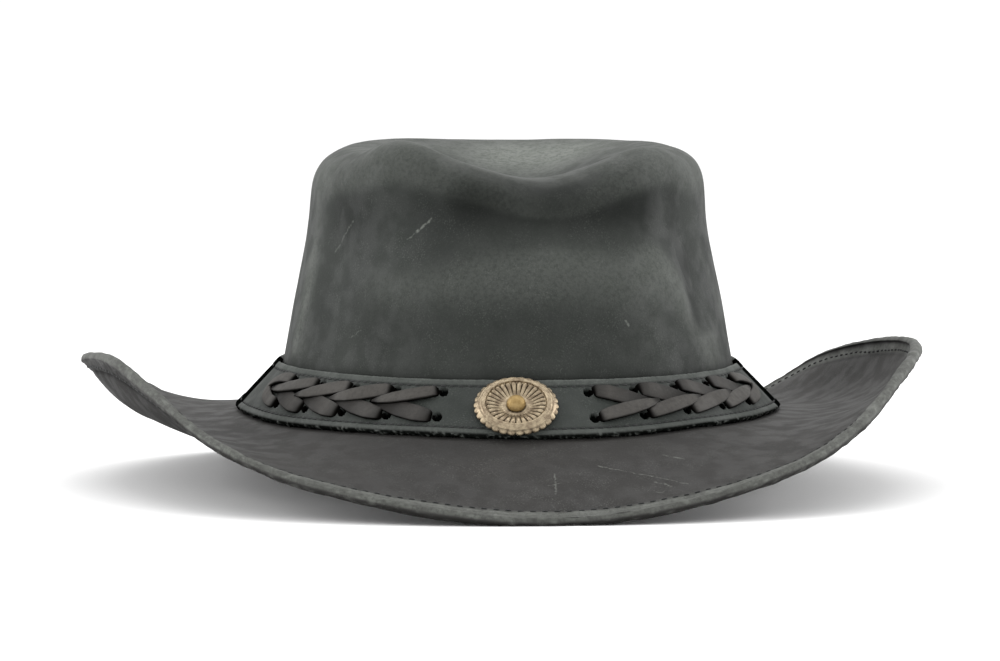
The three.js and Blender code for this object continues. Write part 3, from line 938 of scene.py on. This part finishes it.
def make_band(name, node, start, end, seed):
    columns = int((end - start) * band.degree / 0.55)
    places = np.linspace(start, end, columns)
    outline = band_outline()
    rows = len(outline)
    grid_place = np.repeat(places[:, None], rows, axis=1)
    grid_down = np.repeat(outline[None, :, 0], columns, axis=0)
    grid_height = np.repeat(outline[None, :, 1], columns, axis=0)
    flat = band.point(grid_place, grid_down, grid_height).reshape(-1, 3)
    wave = rough(flat, 16, seed).reshape(grid_down.shape) * 0.16
    frayed = rough(flat, 1.1, seed + 1).reshape(grid_down.shape)
    drift = rough(flat, 9, seed + 2).reshape(grid_down.shape)
    bottom_edge = smoothstep(1 - 1.2 / band.slope, 1, grid_down)
    top_edge = smoothstep(0.8 / band.slope, 0, grid_down)
    grid_down = grid_down + bottom_edge * (0.4 * frayed + 0.3 * drift) / band.slope
    grid_down = grid_down - top_edge * (0.15 * frayed + 0.25 * drift) / band.slope
    on_face = np.repeat(((outline[:, 0] > 0) & (outline[:, 0] < 1))[None], columns, axis=0)
    pit = np.zeros_like(grid_down)
    for side in BOTH_SIDES:
        for _, place, down in hole_places(side):
            apart = np.hypot((grid_place - place) * band.degree, (grid_down - down) * band.slope)
            pit = np.maximum(pit, 1 - smoothstep(HOLE_DIAMETER * 0.48, HOLE_DIAMETER * 0.66, apart))
    pit = pit * on_face
    grid_height = grid_height + on_face * wave - HOLE_DEPTH * pit
    corners = band.point(grid_place, grid_down, grid_height).reshape(-1, 3)
    faces = grid_faces(columns, rows, closed_columns=True)
    faces.append(tuple(range(rows)))
    faces.append(tuple((columns - 1) * rows + row for row in reversed(range(rows))))
    piece = mesh_piece(name, corners, faces)
    from_top = grid_down * band.slope
    from_bottom = (1 - grid_down) * band.slope
    from_edge = np.minimum(from_top, from_bottom)
    border = 1 - smoothstep(2.3, 2.9, from_edge)
    wear_and_highlight = 0.25 * border + 0.35 * (1 - smoothstep(0.0, 0.9, from_top)) + 0.1 * drift
    fluff = (1 - smoothstep(0.0, 0.7, from_bottom)) * smoothstep(0.1, 0.5, frayed)
    groove = bell(from_edge - BAND_STITCH_INSET, 0.5)
    turned = (grid_place + 180) % FULL_TURN - 180
    blackened = np.zeros_like(pit)
    for row in BLACK_ENDS:
        begun = smoothstep(row["from"], row["from"] + 0.3, turned)
        blackened = np.maximum(blackened, begun * smoothstep(row["to"], row["to"] - 0.3, turned))
    # Painted contact shadow along the band's lower edge, on its dark raw cut edge
    under_edge = (1 - smoothstep(0.25, 0.9, from_bottom)) * (1 - fluff)
    mark(piece, "wear_and_highlight", np.clip(wear_and_highlight + 0.5 * fluff, 0, 1).ravel() * (1 - blackened.ravel()))
    # Painted shade in the lacing holes and the stitch grooves, together with the black ends and the lower
    # edge
    holes = smoothstep(0.1, 0.6, pit)
    darkest = np.maximum.reduce([holes, 0.4 * groove, blackened, 0.9 * under_edge])
    mark(piece, "shade", np.clip(darkest, 0, 1).ravel())
    material = leather(
        name + "_leather",
        dark=(0.016, 0.0195, 0.017),
        middle=(0.03, 0.035, 0.031),
        light=(0.13, 0.14, 0.128),
        speckle=0.22,
    )
    dress(piece, "band_leather", material, node)


def make_band_stitches(name, start, end):
    rows = []
    places = np.linspace(start, end, int((end - start) * 2))
    for down in (BAND_STITCH_INSET / band.slope, 1 - BAND_STITCH_INSET / band.slope):
        line = band.point(places, np.full(len(places), down), np.full(len(places), 0.82 * BAND_LEATHER))
        rows.append(stitch_row(line, band.normal(places), BAND_STITCH_PITCH, BAND_STITCH_LENGTH, False))
    piece = mesh_piece(name, *joined(rows))
    dress(piece, "band_leather", thread)


BAND_END_GAP = GAP / half_width * 180 / math.pi
make_band("band_front_skin", "band_front", -BAND_END_ANGLE, BAND_END_ANGLE, 11)
BACK_START = BAND_END_ANGLE + BAND_END_GAP
BACK_END = FULL_TURN - BAND_END_ANGLE - BAND_END_GAP
make_band("band_back_skin", "band_back", BACK_START, BACK_END, 15)
make_band_stitches("band_front_stitches", 2 - BAND_END_ANGLE, BAND_END_ANGLE - 2)
make_band_stitches("band_back_stitches", BAND_END_ANGLE + 2, FULL_TURN - BAND_END_ANGLE - 2)


# Lacing

# Strands from their hole outwards: how far along, how far from their hole's row towards the
# braid's middle, width as a share of the thong's, and height in millimetres over the band's face
OVER_STRAND = table(
    ("along", "toward", "width", "height"),
    (0.0, 0.0, 0.5, -2.0),
    (0.03, 0.0, 0.66, -1.5),
    (0.05, 0.02, 0.78, -0.6),
    (0.08, 0.05, 0.92, -0.1),
    (0.2, 0.2, 1.08, 0.35),
    (0.45, 0.48, 1.12, 0.6),
    (0.7, 0.74, 0.98, 0.55),
    (0.88, 0.92, 0.66, 0.4),
    (1.0, 1.05, 0.2, 0.2),
)
UNDER_STRAND = table(
    ("along", "toward", "width", "height"),
    (0.0, 0.0, 0.5, -2.0),
    (0.03, -0.03, 0.7, -1.5),
    (0.05, -0.04, 0.85, -0.7),
    (0.08, -0.02, 1.05, -0.3),
    (0.25, 0.14, 1.3, -0.1),
    (0.5, 0.5, 1.3, -0.25),
    (0.75, 0.95, 1.1, -0.5),
    (1.0, 1.4, 0.7, -1.0),
)

# The last turn of each side, from the last hole that it goes over to round into its partner
LAST_TURN = table(
    ("out", "toward", "width", "height"),
    (0.03, 0.0, 0.55, -1.6),
    (0.1, 0.02, 0.85),
    (0.3, 0.15, 0.95, 0.9),
    (0.5, 0.42, 0.95, 1.1),
    (0.66, 0.8, 0.85, 0.8),
    (0.68, 1.2, 0.85, 0.5),
    (0.52, 1.62, 0.95, 0.5),
    (0.3, 1.92, 0.9, 0.2),
    (0.12, 2.0, 0.85),
    (0.04, 2.0, 0.55, -1.6),
)

# The thong's cross-section: across as a share of half its width, height as a share of its thickness
THONG_SECTION = table(
    ("across", "height"),
    (-0.99, 0.35),
    (-1.0, 0.72),
    (-0.96, 0.92),
    (-0.86, 1.0),
    (-0.45, 1.03),
    (0.0, 1.04),
    (0.45, 1.03),
    (0.86, 1.0),
    (0.96, 0.92),
    (1.0, 0.72),
    (0.99, 0.35),
    (0.9, 0.02),
    (0.4, 0.0),
    (-0.4, 0.0),
    (-0.9, 0.02),
)


def smooth_column(rows, name, count):
    """One column of a table, drawn through its rows as a smooth curve of many points."""
    values = np.array([row[name] for row in rows], dtype=float)
    values = np.concatenate([[2 * values[0] - values[1]], values, [2 * values[-1] - values[-2]]])
    at = np.linspace(0, len(rows) - 1, count)
    index = np.minimum(at.astype(int), len(rows) - 2)
    share = at - index
    before, first, second, after = (values[index + step] for step in range(4))
    bend = (after - 3 * second + 3 * first - before) * share
    curve = share * (2 * before - 5 * first + 4 * second - after + bend)
    return 0.5 * (2 * first + share * (second - before + curve))


def thong(places, downs, widths, heights, towards_end, seed):
    """A flat strap along the band, with how much paler its top face is and how much painted shade its
    corners get.
    """
    centre = band.point(places, downs, heights + BAND_FACE)
    run = unit(np.gradient(centre, axis=0))
    outward = band.normal(places)
    across = unit(np.cross(outward, run))
    tilt = 0.12 * math.sin(2.1 * seed)
    above = unit(outward + across * tilt)
    across = unit(np.cross(above, run))
    rings = []
    for point, sideways, up, wide in zip(centre, across, above, widths * THONG_WIDTH):
        for row in THONG_SECTION:
            rings.append(point + sideways * row["across"] * wide / 2 + up * row["height"] * THONG_THICKNESS)
    corners = np.array(rings)
    sides = len(THONG_SECTION)
    corners = corners + 0.09 * rough(corners, 2.4, seed)[:, None] * np.repeat(above, sides, axis=0)
    faces = tube_faces(len(places), sides)
    level = np.tile([row["height"] for row in THONG_SECTION], len(places))
    # Painted shade where a strand sinks into its hole and where its tail tucks under the next strand, and a
    # painted shadow line along its edges and underside
    sunk = np.repeat(np.maximum(smoothstep(0.1, -1.0, heights), 0.6 * towards_end), sides)
    shade = np.clip(sunk + 0.95 * (1 - smoothstep(0.5, 0.98, level)), 0, 1)
    # Paler on its top face, less so where it sinks
    wear_and_highlight = np.clip(0.3 * smoothstep(0.9, 1.05, level) - sunk, 0, 1)
    return corners, faces, wear_and_highlight, shade


def strand(side, place, down, lies_over, seed):
    rows = OVER_STRAND if lies_over else UNDER_STRAND
    known = [row["along"] for row in rows]
    along = np.linspace(0, 1, 73)
    column = {
        name: np.interp(along, known, [row[name] for row in rows]) for name in ("toward", "width", "height")
    }
    for name, values in column.items():
        column[name] = np.convolve(np.pad(values, 2, mode="edge"), [0.1, 0.22, 0.36, 0.22, 0.1], "valid")
    pitches = (OVER_PITCHES if lies_over else UNDER_PITCHES) * (1 + 0.04 * math.sin(3.7 * seed))
    places = place + side * (STRAND_START + pitches * along) * HOLE_PITCH
    downs = down + (BRAID_MIDDLE - down) * column["toward"] + 0.012 * math.sin(5.3 * seed) * along
    return thong(places, downs, column["width"], column["height"], smoothstep(0.85, 1.0, along), seed)


def last_turn(side, seed):
    """The loop at a braid's outer end, from one of its last two holes into the other."""
    over, under = (UPPER_HOLES, LOWER_HOLES) if side < 0 else (LOWER_HOLES, UPPER_HOLES)
    count = 61
    outs = smooth_column(LAST_TURN, "out", count)
    toward = smooth_column(LAST_TURN, "toward", count)
    places = side * (LACING_START + HOLE_PITCH * (HOLE_PAIRS - 1 + outs))
    downs = over + (under - over) * toward / 2
    widths = smooth_column(LAST_TURN, "width", count)
    heights = smooth_column(LAST_TURN, "height", count)
    return thong(places, downs, widths, heights, np.zeros(count), seed)


def make_lacing(side, name, node):
    """The strands of one side. Those of the upper holes lie over on the left, of the lower on the right."""
    made = []
    for number, (pair, place, down) in enumerate(hole_places(side)):
        lies_over = (down < BRAID_MIDDLE) == (side < 0)
        if pair < HOLE_PAIRS - 1:
            made.append(strand(side, place, down, lies_over, number + 20 * (side + 2)))
    made.append(last_turn(side, 77))
    piece = mesh_piece(name, *joined([(corners, faces) for corners, faces, _, _ in made]))
    mark(piece, "wear_and_highlight", np.concatenate([wear_and_highlight for _, _, wear_and_highlight, _ in made]))
    mark(piece, "shade", np.concatenate([shade for _, _, _, shade in made]))
    dress(piece, "lacing_leather", lacing_leather, node)


lacing_leather = leather(
    "lacing_leather",
    dark=(0.017, 0.0155, 0.0138),
    middle=(0.04, 0.037, 0.033),
    light=(0.12, 0.112, 0.1),
    speckle=0.1,
)
make_lacing(-1, "lacing_left_strands", "lacing_left")
make_lacing(1, "lacing_right_strands", "lacing_right")


# Ornament

# Rings of the ornament's face from its back edge inwards: how far out as a share of its half
# width and height, height as a share of its relief, and how much of the scallops and of the
# flutes each ring carries
CONCHO_RINGS = table(
    ("out", "rise", "scallop", "flute", "petal"),
    (0.93, 0.0, 0.6),
    (0.985, 0.04, 1.0),
    (1.0, 0.13, 1.0),
    (0.995, 0.24, 1.0),
    (0.975, 0.33, 0.85),
    (0.955, 0.39, 0.35),
    (0.942, 0.46, 0.1),
    (0.92, 0.6),
    (0.895, 0.72),
    (0.875, 0.68),
    (0.855, 0.84),
    (0.828, 0.92),
    (0.812, 0.88),
    (0.795, 0.99),
    (0.765, 1.02),
    (0.745, 0.97),
    (0.733, 0.82),
    (0.718, 0.64, 0.0, 0.3, 1.0),
    (0.7, 0.74, 0.0, 0.9, 1.0),
    (0.67, 0.78, 0.0, 1.0, 0.6),
    (0.62, 0.75, 0.0, 1.0),
    (0.56, 0.67, 0.0, 1.0),
    (0.5, 0.57, 0.0, 0.9),
    (0.44, 0.47, 0.0, 0.75),
    (0.39, 0.39, 0.0, 0.5),
    (0.35, 0.34, 0.0, 0.2),
    (0.32, 0.38),
    (0.28, 0.42),
    (0.12, 0.42),
)
PETAL_DEPTH = 0.9
SCALLOP_DEPTH = 0.5
FLUTE_DEPTH = 0.8
CONCHO_STEPS = 420


def ornament_frame():
    """The place and directions of the ornament's back, on the front of the band."""
    place = Vector(band.point(0.0, ORNAMENT_DOWN, BAND_LEATHER + GAP))
    outward = Vector(band.normal(0.0))
    around = Vector(band.point(1.0, 0.5, BAND_LEATHER) - band.point(-1.0, 0.5, BAND_LEATHER)).normalized()
    up = outward.cross(around)
    turning = Matrix((around, up, outward)).transposed().to_4x4()
    return Matrix.Translation(place) @ turning


def placed(corners, placing):
    return [placing @ Vector(corner) for corner in corners]


def make_concho(placing):
    turn = np.arange(CONCHO_STEPS) * 2 * np.pi / CONCHO_STEPS
    scallop = np.abs(np.cos(SCALLOPS * turn / 2)) ** 0.7 - 0.5
    flute = 2 * np.abs(np.cos(FLUTES * turn / 2)) ** 0.55 - 1
    corners, hollow = [], []
    for row in CONCHO_RINGS:
        swell = SCALLOP_DEPTH * row["scallop"] * scallop + PETAL_DEPTH / 2 * row["petal"] * flute
        height = CONCHO_RELIEF * row["rise"] + FLUTE_DEPTH / 2 * row["flute"] * flute
        corners.append(np.stack([
            (CONCHO_WIDTH / 2 * row["out"] + swell) * np.cos(turn),
            (CONCHO_HEIGHT / 2 * row["out"] + swell) * np.sin(turn),
            height,
        ], axis=-1))
        valley = row["flute"] * (0.5 - 0.5 * flute) + row["scallop"] * (0.5 - scallop) * 0.6
        sunk = 0.12 if row["out"] < 0.72 else 0.28
        hollow.append(np.clip(valley + sunk * (1 - row["rise"]), 0, 1))
    corners = np.concatenate(corners)
    hollow = np.concatenate(hollow)
    corners[:, 2] += 0.07 * rough(corners, 2.2, 31)
    back = corners[:CONCHO_STEPS].copy()
    back[:, 2] = 0
    inner = corners[-CONCHO_STEPS:].copy()
    inner[:, 2] = 0
    corners = np.concatenate([inner, back, corners])
    hollow = np.concatenate([np.ones(2 * CONCHO_STEPS), hollow])
    faces = grid_faces(len(CONCHO_RINGS) + 2, CONCHO_STEPS, closed_rows=True, closed_columns=True)
    piece = mesh_piece("concho_cast", placed(corners, placing), faces)
    mark(piece, "hollow", hollow)
    material = brass_material(
        "aged_brass",
        dark=(0.04, 0.03, 0.017),
        middle=(0.21, 0.16, 0.108),
        light=(0.42, 0.345, 0.235),
        roughness=0.38,
        age=1.0,
    )
    dress(piece, "aged_brass", material, "concho")


# The stud from its dome's crown to its shank's tail: out as a share of its radius or of the
# shank's, and height as a share of its relief
STUD_DOME = [
    (0.0, 1.0), (0.2, 0.985), (0.4, 0.93), (0.6, 0.83),
    (0.78, 0.67), (0.9, 0.48), (0.97, 0.28), (1.0, 0.1),
]


def make_stud(placing):
    sides = 48
    base = CONCHO_RELIEF * 0.42 + GAP
    radius = STUD_DIAMETER / 2
    shank = SHANK_DIAMETER / 2
    profile = [(max(radius * out, 0.02), base + STUD_RELIEF * rise) for out, rise in STUD_DOME]
    profile += [(radius * 0.97, base), (shank, base), (shank, -GAP - BAND_LEATHER - SHANK_TAIL)]
    profile += [(0.02, -GAP - BAND_LEATHER - SHANK_TAIL)]
    turn = np.arange(sides) * 2 * np.pi / sides
    rings = []
    for out, height in profile:
        rings.append(np.stack([out * np.cos(turn), out * np.sin(turn), np.full(sides, height)], axis=-1))
    faces = [tuple(reversed(face)) for face in tube_faces(len(rings), sides)]
    piece = mesh_piece("stud_dome", placed(np.concatenate(rings), placing), faces)
    mark(piece, "hollow", np.repeat([0.0] * 6 + [0.3, 0.7] + [1.0] * 4, sides))
    material = brass_material(
        "stud_brass",
        dark=(0.07, 0.045, 0.015),
        middle=(0.28, 0.19, 0.075),
        light=(0.38, 0.27, 0.12),
        roughness=0.55,
        age=0.8,
    )
    dress(piece, "stud_brass", material, "concho_stud")


ornament_placing = ornament_frame()
make_concho(ornament_placing)
make_stud(ornament_placing)


# Studio

def make_floor():
    """A pale floor that reaches as far as the camera sees."""
    turn = np.arange(FLOOR_SIDES) * 2 * np.pi / FLOOR_SIDES
    around = [FLOOR_RADIUS * np.cos(turn), FLOOR_RADIUS * np.sin(turn), 0 * turn - FLOOR_DROP]
    floor = mesh_piece("floor", np.stack(around, axis=-1), [tuple(range(FLOOR_SIDES))])
    n = Nodes("floor")
    n.feed(n.shader.inputs["Base Color"], n.mix(n.noise(900), (0.86, 0.86, 0.86), (0.88, 0.88, 0.88)))
    n.shader.inputs["Roughness"].default_value = 0.9
    floor.data.materials.append(n.material)


def soft_light(name, place, aim, size, watts):
    data = bpy.data.lights.new(name, "AREA")
    data.shape = "RECTANGLE"
    data.size, data.size_y = size
    data.energy = watts
    light = bpy.data.objects.new(name, data)
    light.location = place
    light.rotation_euler = (Vector(aim) - Vector(place)).to_track_quat("-Z", "Y").to_euler()
    bpy.context.scene.collection.objects.link(light)


def make_studio():
    make_floor()
    world = bpy.data.worlds.new("studio")
    world.use_nodes = True
    background = world.node_tree.nodes["Background"]
    background.inputs["Color"].default_value = (1, 1, 1, 1)
    background.inputs["Strength"].default_value = WORLD_STRENGTH
    bpy.context.scene.world = world
    bpy.context.scene.view_settings.view_transform = "Standard"
    soft_light("overhead", (0.0, 0.35, 1.3), (0, 0, 0.08), (1.2, 0.9), 7)
    soft_light("left", (-1.3, 0.1, 0.5), (0, 0, 0.08), (0.6, 0.9), 8)
    soft_light("right", (1.3, 0.1, 0.5), (0, 0, 0.08), (0.6, 0.9), 9)


make_studio()

bpy.context.view_layer.update()
